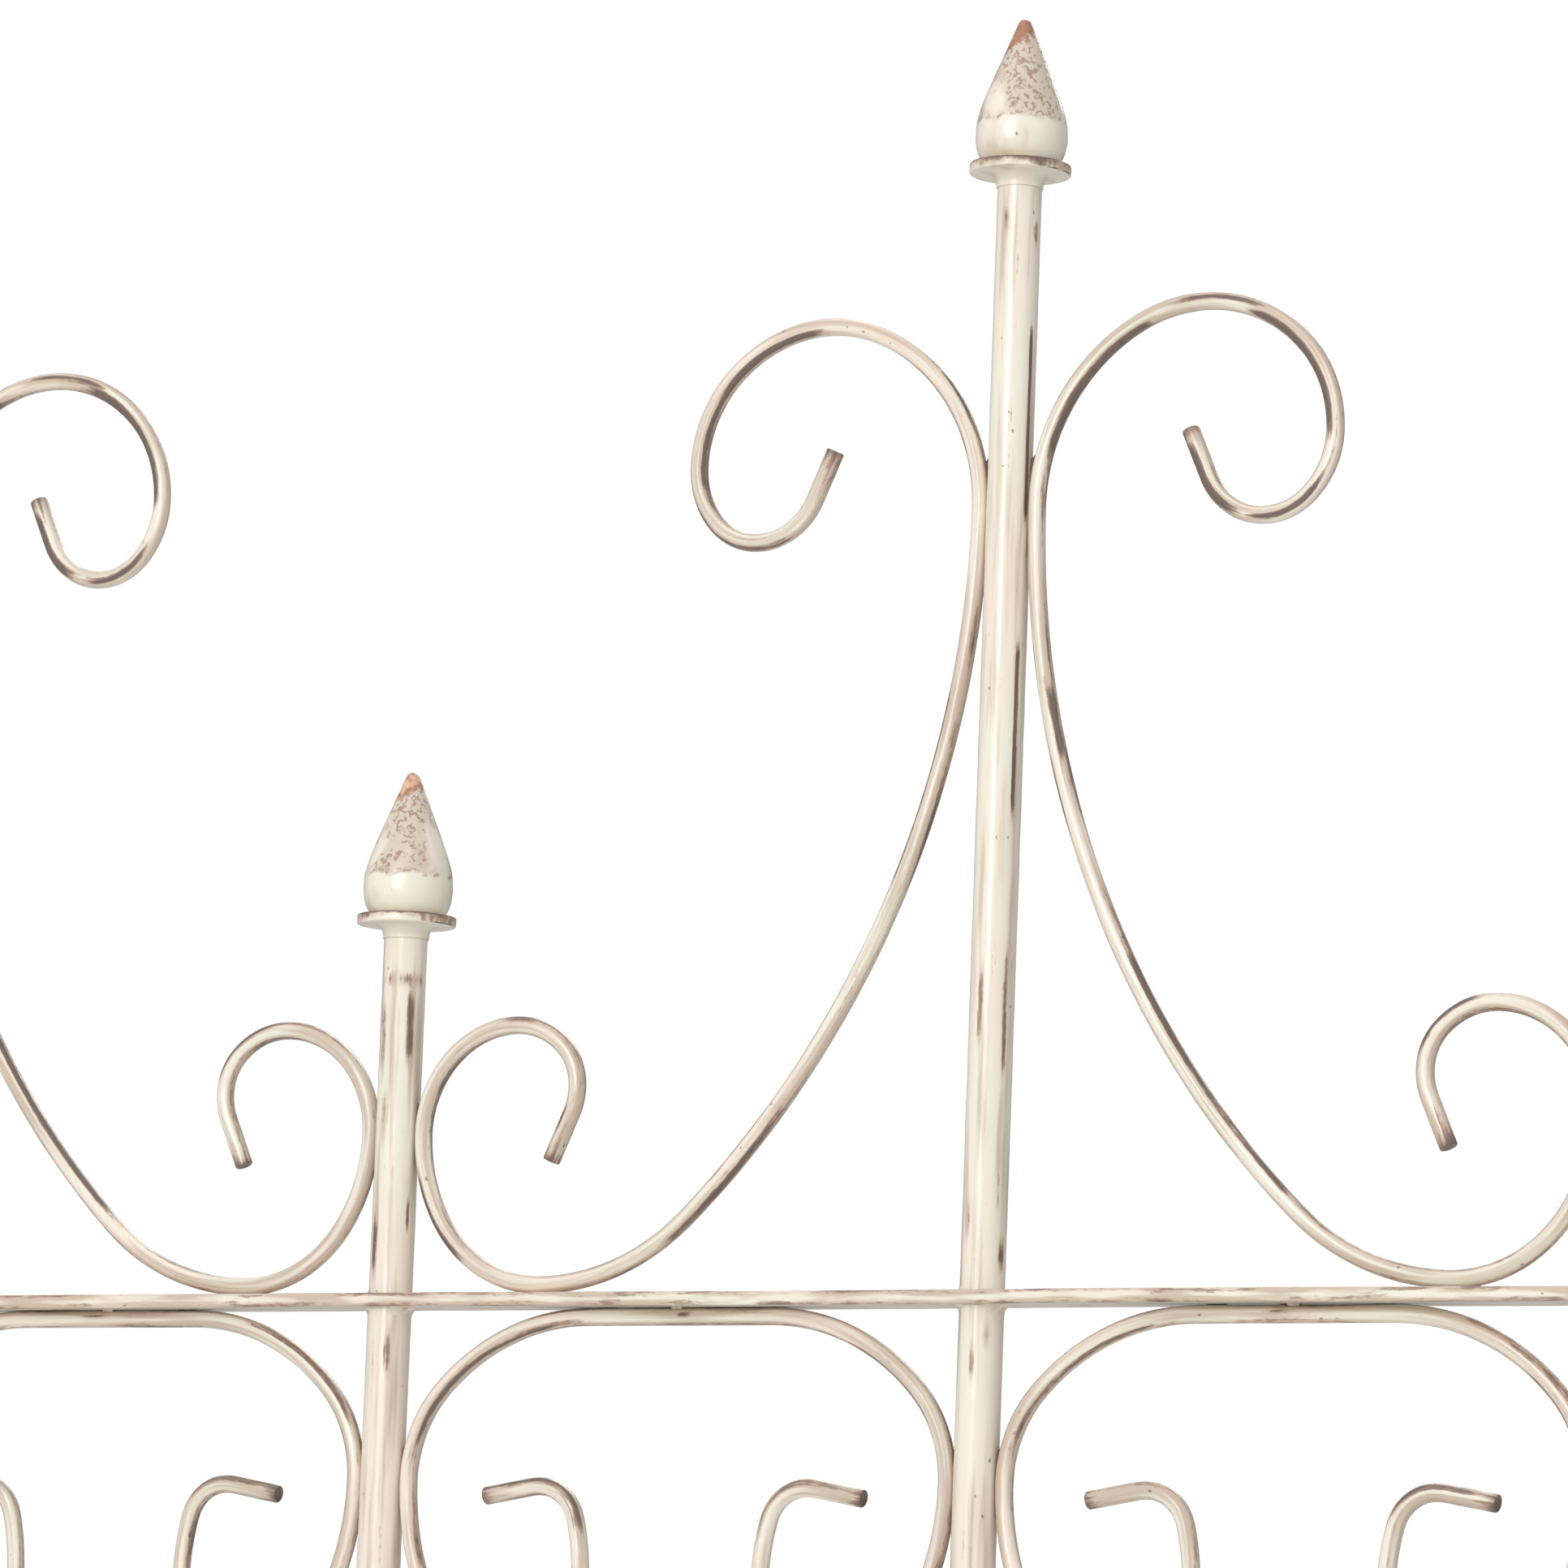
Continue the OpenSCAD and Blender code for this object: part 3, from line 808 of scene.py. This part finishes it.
def make_plug(name, seed):
    low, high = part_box("plug_" + name)
    x = middle("plug_" + name).x
    sphere_r = (POST_R ** 2 + PLUG_DOME ** 2) / (2 * PLUG_DOME)
    reach = math.asin(POST_R / sphere_r)
    profile = [(POLE_R, low.z)]
    profile += [(sphere_r * math.sin(a), low.z + sphere_r * (1 - math.cos(a)))
                for a in np.linspace(0, reach, 12)[1:]]
    profile += [(SPIGOT_R, low.z + PLUG_DOME), (SPIGOT_R, high.z), (POLE_R, high.z)]
    shape = Shape()
    add_lathe(shape, profile, x, seed)
    piece = shape.make("dome_plug_" + name, FOOT)
    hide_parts("plug_" + name)


# ---- Rails ---------------------------------------------------------------------------------

RAIL_EDGE = 0.0008
RAIL_END_EDGE = 0.0005
RAIL_RING = 0.004
RAIL_SPACING = 0.0015
# Depth and size of the rail's dents, and of its slow waves up and down
DENTS = (0.00009, 0.014)
SMALL_DENTS = (0.00005, 0.005)
RAIL_SWAY = (0.0003, 0.16)
# Painted shade along the rail's rounded long edges
RAIL_EDGE_SHADE = 0.35
RAIL_SHARP = 40
HOLE_SIDES = 48
CUTTER_REACH = 0.01


def arc_points(centre, radius, from_angle, to_angle, steps):
    return [centre + radius * direction(a) for a in np.linspace(from_angle, to_angle, steps + 1)]


def rail_section():
    """Rounded rectangle of [y, z] points, with points along its flats."""
    points = []
    corners = [(1, 1, 0), (-1, 1, 90), (-1, -1, 180), (1, -1, 270)]
    for side_y, side_z, start in corners:
        centre_y = side_y * (RAIL_HALF_DEPTH - RAIL_EDGE)
        centre_z = side_z * (RAIL_HALF_T - RAIL_EDGE)
        centre = np.array([centre_y, centre_z])
        points += arc_points(centre, RAIL_EDGE, start, start + 90, 4)
    dense = []
    for a, b in zip(points, points[1:] + points[:1]):
        parts = max(1, round(np.linalg.norm(b - a) / RAIL_SPACING))
        dense += [a + (b - a) * k / parts for k in range(parts)]
    return np.array(dense)


def make_rail(name, seed):
    low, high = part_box(name)
    z = RAIL_Z[name]
    section = rail_section()
    count = round((high.x - low.x) / RAIL_RING)
    inner_xs = np.linspace(low.x + RAIL_END_EDGE, high.x - RAIL_END_EDGE, count)
    xs = np.concatenate([[low.x], inner_xs, [high.x]])
    shrink = np.ones(len(xs))
    shrink[0] = shrink[-1] = 1 - RAIL_END_EDGE / RAIL_HALF_T / 2
    rings = np.stack([
        np.broadcast_to(xs[:, None], (len(xs), len(section))),
        shrink[:, None] * section[:, 0],
        shrink[:, None] * section[:, 1],
    ], axis=-1)
    dents = DENTS[0] * lumps(rings, DENTS[1], seed)
    dents += SMALL_DENTS[0] * lumps(rings, SMALL_DENTS[1], seed + 2)
    outward = rings * [0, 0.4, 1]
    rings = rings + outward / np.linalg.norm(outward, axis=-1, keepdims=True) * dents[..., None]
    rise, wave = RAIL_SWAY
    sway = np.array([[0, 0, rise * noise.noise(Vector((x / wave, seed, 0)))] for x in xs])
    rings = rings + sway[:, None, :] + [0, 0, z]
    shape = Shape()
    shape.stack(rings, rings, 0.0)
    piece = shape.make("bar_" + name, RAIL, sharp=RAIL_SHARP)
    punch(piece, holes_of(name), z)
    points = np.array([v.co for v in piece.data.vertices])
    # The rounded long edges get painted shade, stored as their rub
    near = 1.4 * RAIL_EDGE
    at_side = RAIL_HALF_DEPTH - np.abs(points[:, 1]) < near
    at_face = RAIL_HALF_T - np.abs(points[:, 2] - z) < near
    wear = RAIL_EDGE_SHADE * at_side * at_face
    for attribute in ("grain", "rub_and_shade"):
        if attribute in piece.data.attributes:
            piece.data.attributes.remove(piece.data.attributes[attribute])
    set_pattern(piece.data, points + [seed * 1.3, 0, 0], wear)
    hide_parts(name)


def holes_of(rail):
    """The punched holes of a rail: (x, radius)."""
    holes = [(x, POST_R + HOLE_GAP) for x in POST_X]
    if rail == "middle_rail":
        holes += [(middle("infill_rod_" + bay).x, ROD_R + HOLE_GAP) for bay in BAYS]
    return holes


def punch(piece, holes, z):
    """Cuts upright round holes."""
    cutter_shape = Shape()
    turn = np.radians(np.arange(HOLE_SIDES) * 360 / HOLE_SIDES)
    for x, radius in holes:
        across = x + radius * np.cos(turn)
        ring = np.stack([across, radius * np.sin(turn), np.zeros(HOLE_SIDES)], axis=-1)
        rings = np.stack([ring + [0, 0, z - CUTTER_REACH], ring + [0, 0, z + CUTTER_REACH]])
        cutter_shape.stack(rings, rings, 0.0)
    mesh = bpy.data.meshes.new("cutter")
    mesh.from_pydata(np.concatenate(cutter_shape.points).tolist(), [], cutter_shape.faces)
    cutter = bpy.data.objects.new("cutter", mesh)
    bpy.context.scene.collection.objects.link(cutter)
    modifier = piece.modifiers.new("holes", "BOOLEAN")
    modifier.operation = "DIFFERENCE"
    modifier.solver = "EXACT"
    modifier.object = cutter
    bpy.context.view_layer.update()
    depsgraph = bpy.context.evaluated_depsgraph_get()
    cut = bpy.data.meshes.new_from_object(piece.evaluated_get(depsgraph))
    piece.modifiers.clear()
    old = piece.data
    piece.data = cut
    cut.name = old.name
    bpy.data.meshes.remove(old)
    bpy.data.objects.remove(cutter)
    bpy.data.meshes.remove(mesh)
    cut.shade_smooth()
    cut.set_sharp_from_angle(angle=math.radians(RAIL_SHARP))


# ---- Scrolls and infill rods ---------------------------------------------------------------

# Worn streaks on the rods: from and to along the rod, the angle round it, half width in degrees
# and strength. Angle 0 is the outside of every bend, 180 its inside and 270 the front. Each
# list below holds the streaks of the two bays whose tall post is on the right, then those of
# the two whose tall post is on the left.
INNER = 210
OUTER = 325
CREST_STREAKS = [
    [
        (0.028, 0.084, OUTER, 42, 0.75),
        (0.076, 0.130, INNER + 8, 24, 0.8),
        (0.112, 0.174, INNER + 12, 34, 1.0),
        (0.240, 0.262, INNER, 30, 0.5),
        (0.335, 0.420, INNER + 8, 30, 0.95),
        (0.420, 0.500, INNER, 24, 0.5),
        (0.496, 0.578, OUTER, 34, 0.75),
        (0.655, 0.702, OUTER - 10, 46, 0.95),
        (0.762, 0.788, OUTER, 34, 0.6),
        (0.812, 0.836, INNER + 20, 40, 0.6),
    ],
    [
        (0.000, 0.042, OUTER - 35, 46, 0.9),
        (0.038, 0.078, OUTER - 35, 28, 0.85),
        (0.084, 0.156, INNER + 34, 44, 0.95),
        (0.140, 0.186, OUTER - 35, 32, 0.75),
        (0.186, 0.262, INNER + 4, 44, 0.95),
        (0.336, 0.376, INNER + 10, 44, 0.8),
        (0.362, 0.400, OUTER, 30, 0.95),
        (0.440, 0.560, INNER, 34, 0.9),
        (0.560, 0.620, OUTER, 26, 0.45),
        (0.715, 0.745, INNER, 30, 0.5),
        (0.772, 0.812, OUTER - 6, 44, 0.85),
    ],
]
BAND_STREAKS = [
    [
        (0.000, 0.055, OUTER - 14, 46, 0.65),
        (0.058, 0.078, INNER + 20, 30, 0.6),
        (0.160, 0.190, INNER, 28, 0.5),
        (0.198, 0.312, INNER + 10, 48, 0.42),
        (0.207, 0.300, INNER + 14, 25, 0.95),
        (0.341, 0.350, OUTER - 45, 20, 0.8),
        (0.412, 0.466, INNER, 36, 0.7),
        (0.505, 0.540, OUTER, 24, 0.5),
        (0.628, 0.684, OUTER - 14, 44, 0.6),
    ],
    [
        (0.000, 0.040, OUTER - 14, 40, 0.5),
        (0.200, 0.306, INNER + 8, 46, 0.42),
        (0.209, 0.296, INNER + 12, 24, 0.9),
        (0.330, 0.344, OUTER - 40, 20, 0.6),
        (0.398, 0.470, OUTER - 8, 34, 0.6),
        (0.430, 0.480, INNER, 26, 0.6),
        (0.640, 0.684, OUTER - 14, 44, 0.6),
    ],
]


def bay_middle(bay):
    return (POST_X[bay] + POST_X[bay + 1]) / 2


def tall_post_on_left(bay):
    return bay % 2 == 0


def crest_place(bay):
    """Puts a crest scroll in its bay, mirrored where the tall post is on the left."""
    if tall_post_on_left(bay):
        return placed(POST_X[bay + 1], CREST_H, -1)
    return placed(POST_X[bay], CREST_H, 1)


def make_crest_scroll(bay):
    shape = Shape()
    streaks = CREST_STREAKS[tall_post_on_left(bay)]
    add_rod(shape, crest_line(), ROD_R, crest_place(bay), bay + 11, streaks)
    piece = shape.make("crest_scroll_rod_" + BAYS[bay], ROD)
    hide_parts("crest_scroll_" + BAYS[bay])


def make_band_scroll(bay, row, rail, flip_z):
    shape = Shape()
    place = placed(bay_middle(bay), RAIL_Z[rail], 1, flip_z)
    seed = bay + (21 if flip_z > 0 else 31)
    add_rod(shape, band_line(), ROD_R, place, seed, BAND_STREAKS[tall_post_on_left(bay)])
    piece = shape.make(row + "_scroll_rod_" + BAYS[bay], ROD)
    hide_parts(row + "_scroll_" + BAYS[bay])


BEAD_RINGS = 25
BEAD_SIDES = 12
BEAD_DEPTH = 0.0013
BEAD_BITE = 0.0008
BEAD_ROUGH = 0.35
BEAD_LUMP = 0.0035


def make_bead(shape, line, contact, reach, place, seed, offset=0.0012, rub_and_shade=0.9):
    """Weld metal in the gap where the outside of a rod meets a straight face at a contact
    point of its line. reach is the bead's half length and offset moves it back. Most beads are
    painted dark brown, as painted shade in the crevice between the parts."""
    travel, tangent = travel_and_tangent(line)
    nearest = np.argmin(np.linalg.norm(line - np.array(contact), axis=1))
    outward = np.array([-tangent[nearest][1], tangent[nearest][0]])
    face = line[nearest] + outward * (ROD_R + WELD_GAP)
    along = np.linspace(-reach, reach, BEAD_RINGS)
    at = travel[nearest] + along
    centres = np.stack([np.interp(at, travel, line[:, k]) for k in (0, 1)], axis=-1)
    edge = centres + ROD_R * outward
    gap = (face - edge) @ outward
    middle_line = edge + outward * gap[:, None] / 2
    taper = np.sqrt(np.clip(1 - (along / reach) ** 6, 0.0004, 1))
    rough = 1 + BEAD_ROUGH * lumps_along(along, BEAD_LUMP, seed)
    across = (gap / 2 + BEAD_BITE) * taper
    back = BEAD_DEPTH * taper * rough
    turn = np.radians(np.arange(BEAD_SIDES) * 360 / BEAD_SIDES)
    flat = middle_line[:, None, :] + (across[:, None] * np.cos(turn))[..., None] * outward
    y = offset + back[:, None] * np.sin(turn)
    grain = np.stack([np.broadcast_to(along[:, None] + seed, y.shape), flat[..., 0], y], axis=-1)
    rings = place(flat[..., 0], y, flat[..., 1])
    shape.stack(rings, grain, rub_and_shade, mirrored=place.mirrored)


# A fillet's section in its own size: how far it bites into both metals, and how tall it is
FILLET_BITE = 0.15
FILLET_TALL = 1.3
FILLET_ROUGH = 0.25
FILLET_LUMP = 0.003
FILLET_SIZE = 0.0024
FILLET_SIZE_ABOVE = 0.0016


def make_fillet(shape, x, z, down, middle_angle, half_angle, seed, size=FILLET_SIZE):
    """A hollow-faced weld round part of a post, on a rail's face at height z."""
    share = np.linspace(-1, 1, BEAD_RINGS)
    from_angle = middle_angle - half_angle
    angles = np.radians(np.linspace(from_angle, middle_angle + half_angle, BEAD_RINGS))
    taper = np.sqrt(np.clip(1 - share ** 4, 0.01, 1))
    rough = 1 + FILLET_ROUGH * lumps_along(angles * POST_R, FILLET_LUMP, seed)
    scale = size * taper * rough
    hollow = [(1.02 - math.sin(a), FILLET_TALL * (1 - math.cos(a)))
              for a in np.radians(np.linspace(0, 90, 7))]
    foot = [(-FILLET_BITE, -FILLET_BITE), (1, -FILLET_BITE)]
    section = np.array(foot + hollow + [(-FILLET_BITE, FILLET_TALL)])
    r = POST_R + scale[:, None] * section[:, 0]
    height = z + (-1 if down else 1) * scale[:, None] * section[:, 1]
    across = x + r * np.cos(angles)[:, None]
    rings = np.stack([across, r * np.sin(angles)[:, None], height], axis=-1)
    if down:
        rings = rings[:, ::-1]
    shape.stack(rings, rings + [seed, 0, 0], 0.1)


def make_rail_welds(name, seed):
    """Fillets at the sides of each post under a rail, and on its left above it."""
    z = RAIL_Z[name]
    shape = Shape()
    for k, x in enumerate(POST_X):
        make_fillet(shape, x, z - RAIL_HALF_T, True, 0, 60, seed + k)
        make_fillet(shape, x, z - RAIL_HALF_T, True, 180, 60, seed + k + 7)
        make_fillet(shape, x, z + RAIL_HALF_T, False, 180, 55, seed + k + 13, FILLET_SIZE_ABOVE)
    shape.make("weld_beads_" + name, RAIL, sharp=45)


def make_scroll_welds(bay, seed):
    """Beads that fasten a bay's scrolls to the posts and rails."""
    place = crest_place(bay)
    line = crest_line()
    shape = Shape()
    make_bead(shape, line, TALL_WELD, 0.019, place, seed)
    make_bead(shape, line, RAIL_WELD, 0.010, place, seed + 1)
    make_bead(shape, line, SHORT_WELD, 0.012, place, seed + 2)
    shape.make("weld_beads_crest_scroll_" + BAYS[bay], ROD, sharp=70)
    line = band_line()
    left_weld = (-BAND_WELD[0], BAND_WELD[1])
    for row, rail, flip_z in (("upper", "crest_rail", 1), ("lower", "bottom_rail", -1)):
        place = placed(bay_middle(bay), RAIL_Z[rail], 1, flip_z)
        shape = Shape()
        make_bead(shape, line, left_weld, 0.013, place, seed + 3)
        make_bead(shape, line, BAND_WELD, 0.013, place, seed + 4)
        for k, share in enumerate((-0.8, -0.05, 0.85)):
            spot = (share * BAND_FLAT, -BESIDE_RAIL)
            make_bead(shape, line, spot, 0.004, place, seed + 5 + k)
        centre = (0, -BESIDE_RAIL)
        make_bead(shape, line, centre, 0.0025, place, seed + 8, offset=-0.0016, rub_and_shade=0.3)
        shape.make("weld_beads_" + row + "_scroll_" + BAYS[bay], ROD, sharp=70)


def make_infill_rod(bay):
    low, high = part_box("infill_rod_" + BAYS[bay])
    line = np.array(straight((0, low.z), (0, high.z)))
    shape = Shape()
    add_rod(shape, line, ROD_R, placed(bay_middle(bay), 0), bay + 41)
    piece = shape.make("infill_bar_" + BAYS[bay], ROD)
    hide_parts("infill_rod_" + BAYS[bay])


# ---- Floor, lights and camera --------------------------------------------------------------

FLOOR_HALF = 9
FLOOR_GAP = 0.0005


def make_floor():
    n = Nodes("pale_floor")
    place = n.add("ShaderNodeTexCoord").outputs["Object"]
    colour = n.mix(n.noise(place, scale=3, detail=2), FLOOR_LIGHT, FLOOR_DARK)
    grit = n.noise(place, scale=40, detail=2)
    material = n.surface(colour, 0.6, grit)
    mesh = bpy.data.meshes.new("floor")
    corners = [(x * FLOOR_HALF, y * FLOOR_HALF, 0) for x, y in ((-1, -1), (1, -1), (1, 1), (-1, 1))]
    mesh.from_pydata(corners, [], [(0, 1, 2, 3)])
    mesh.materials.append(material)
    floor = bpy.data.objects.new("floor", mesh)
    floor.location.z = cad_box[0].z - FLOOR_GAP
    bpy.context.scene.collection.objects.link(floor)


# Direction from the panel to the middle of the studio's brighter half
BRIGHT_SIDE = (0.12, -0.85, 0.5)
FRONT_LIGHT = 0.87
BACK_LIGHT = 0.26
LIGHT_COLOUR = (1, 1, 0.99, 1)
SEEN_COLOUR = (1, 1, 1, 1)
SEEN_LEVEL = 1.02


def make_world():
    """White behind the object, and on it an even light that is weaker from behind."""
    world = bpy.data.worlds.new("studio")
    world.use_nodes = True
    bpy.context.scene.world = world
    tree = world.node_tree
    tree.nodes.clear()
    path = tree.nodes.new("ShaderNodeLightPath")
    toward = tree.nodes.new("ShaderNodeTexCoord")
    facing = tree.nodes.new("ShaderNodeVectorMath")
    facing.operation = "DOT_PRODUCT"
    facing.inputs[1].default_value = BRIGHT_SIDE
    level = tree.nodes.new("ShaderNodeMapRange")
    level.interpolation_type = "SMOOTHSTEP"
    limits = {"From Min": -0.5, "From Max": 0.6, "To Min": BACK_LIGHT, "To Max": FRONT_LIGHT}
    for name, value in limits.items():
        level.inputs[name].default_value = value
    seen = tree.nodes.new("ShaderNodeBackground")
    seen.inputs["Color"].default_value = SEEN_COLOUR
    seen.inputs["Strength"].default_value = SEEN_LEVEL
    light = tree.nodes.new("ShaderNodeBackground")
    light.inputs["Color"].default_value = LIGHT_COLOUR
    mixed = tree.nodes.new("ShaderNodeMixShader")
    output = tree.nodes.new("ShaderNodeOutputWorld")
    links = tree.links
    links.new(toward.outputs["Generated"], facing.inputs[0])
    links.new(facing.outputs["Value"], level.inputs["Value"])
    links.new(level.outputs[0], light.inputs["Strength"])
    links.new(path.outputs["Is Camera Ray"], mixed.inputs[0])
    links.new(light.outputs[0], mixed.inputs[1])
    links.new(seen.outputs[0], mixed.inputs[2])
    links.new(mixed.outputs[0], output.inputs["Surface"])


# The point that every light faces
TARGET = Vector((-0.1, 0, 1.15))


def softbox(name, azimuth, elevation, distance, width, height, power):
    """A soft light that the camera doesn't see. Azimuth 0 is in front of the panel and 90 to
    its right."""
    light = bpy.data.lights.new(name, "AREA")
    light.shape = "RECTANGLE"
    light.size = width
    light.size_y = height
    light.energy = power
    lamp = bpy.data.objects.new(name, light)
    a, e = math.radians(azimuth), math.radians(elevation)
    away = Vector((math.sin(a) * math.cos(e), -math.cos(a) * math.cos(e), math.sin(e)))
    lamp.location = TARGET + away * distance
    lamp.visible_camera = False
    lamp.rotation_mode = "QUATERNION"
    lamp.rotation_quaternion = (-away).to_track_quat("-Z", "Y")
    bpy.context.scene.collection.objects.link(lamp)


def make_lights():
    softbox("key", 0, 14, 3.0, 0.9, 1.5, 34)
    softbox("lamp", 0, 22, 3.0, 0.16, 0.16, 1.6)
    softbox("bounce", 2, -28, 2.2, 0.25, 0.16, 0.7)
    softbox("fill", 66, 25, 3.2, 1.6, 1.6, 4)
    softbox("overhead", -30, 72, 2.6, 1.8, 1.2, 7)
    softbox("behind", 190, 40, 3.2, 1.8, 1.8, 38)


LENS = 190.76
SENSOR = 36
# From the centre post's axis at the crest rail's height
CAMERA_OFFSET = (1.3654, -2.5844, -0.2283)
YAW, PITCH, ROLL = math.radians(29.348), math.radians(7.959), math.radians(2.16)


def make_camera():
    """Low to the right of the centre post, looking up at the top of the panel."""
    data = bpy.data.cameras.new("camera")
    data.lens = LENS
    data.sensor_width = SENSOR
    data.clip_start, data.clip_end = 0.1, 60
    camera = bpy.data.objects.new("camera", data)
    ahead = math.cos(PITCH)
    forward = Vector((-math.sin(YAW) * ahead, math.cos(YAW) * ahead, math.sin(PITCH)))
    level = Vector((math.cos(YAW), math.sin(YAW), 0))
    upright = level.cross(forward)
    right = level * math.cos(ROLL) + upright * math.sin(ROLL)
    up = upright * math.cos(ROLL) - level * math.sin(ROLL)
    place = Vector((POST_X[2], 0, CREST_H)) + Vector(CAMERA_OFFSET)
    rotation = Matrix((right, up, -forward)).transposed()
    camera.matrix_world = Matrix.Translation(place) @ rotation.to_4x4()
    bpy.context.scene.collection.objects.link(camera)
    bpy.context.scene.camera = camera


for seed, name in enumerate(POSTS):
    make_post(name, seed)
    make_collar(name, seed)
    make_finial(name, seed)
for seed, name in enumerate(TALL_POSTS):
    make_stake(name, seed)
for seed, name in enumerate(SHORT_POSTS):
    make_plug(name, seed)
for seed, name in enumerate(RAILS):
    make_rail(name, seed)
    make_rail_welds(name, seed * 20)
for bay in range(len(BAYS)):
    make_crest_scroll(bay)
    make_band_scroll(bay, "upper", "crest_rail", 1)
    make_band_scroll(bay, "lower", "bottom_rail", -1)
    make_infill_rod(bay)
    make_scroll_welds(bay, bay * 9)
make_floor()
make_world()
make_lights()
make_camera()
bpy.context.scene.view_settings.view_transform = "Standard"
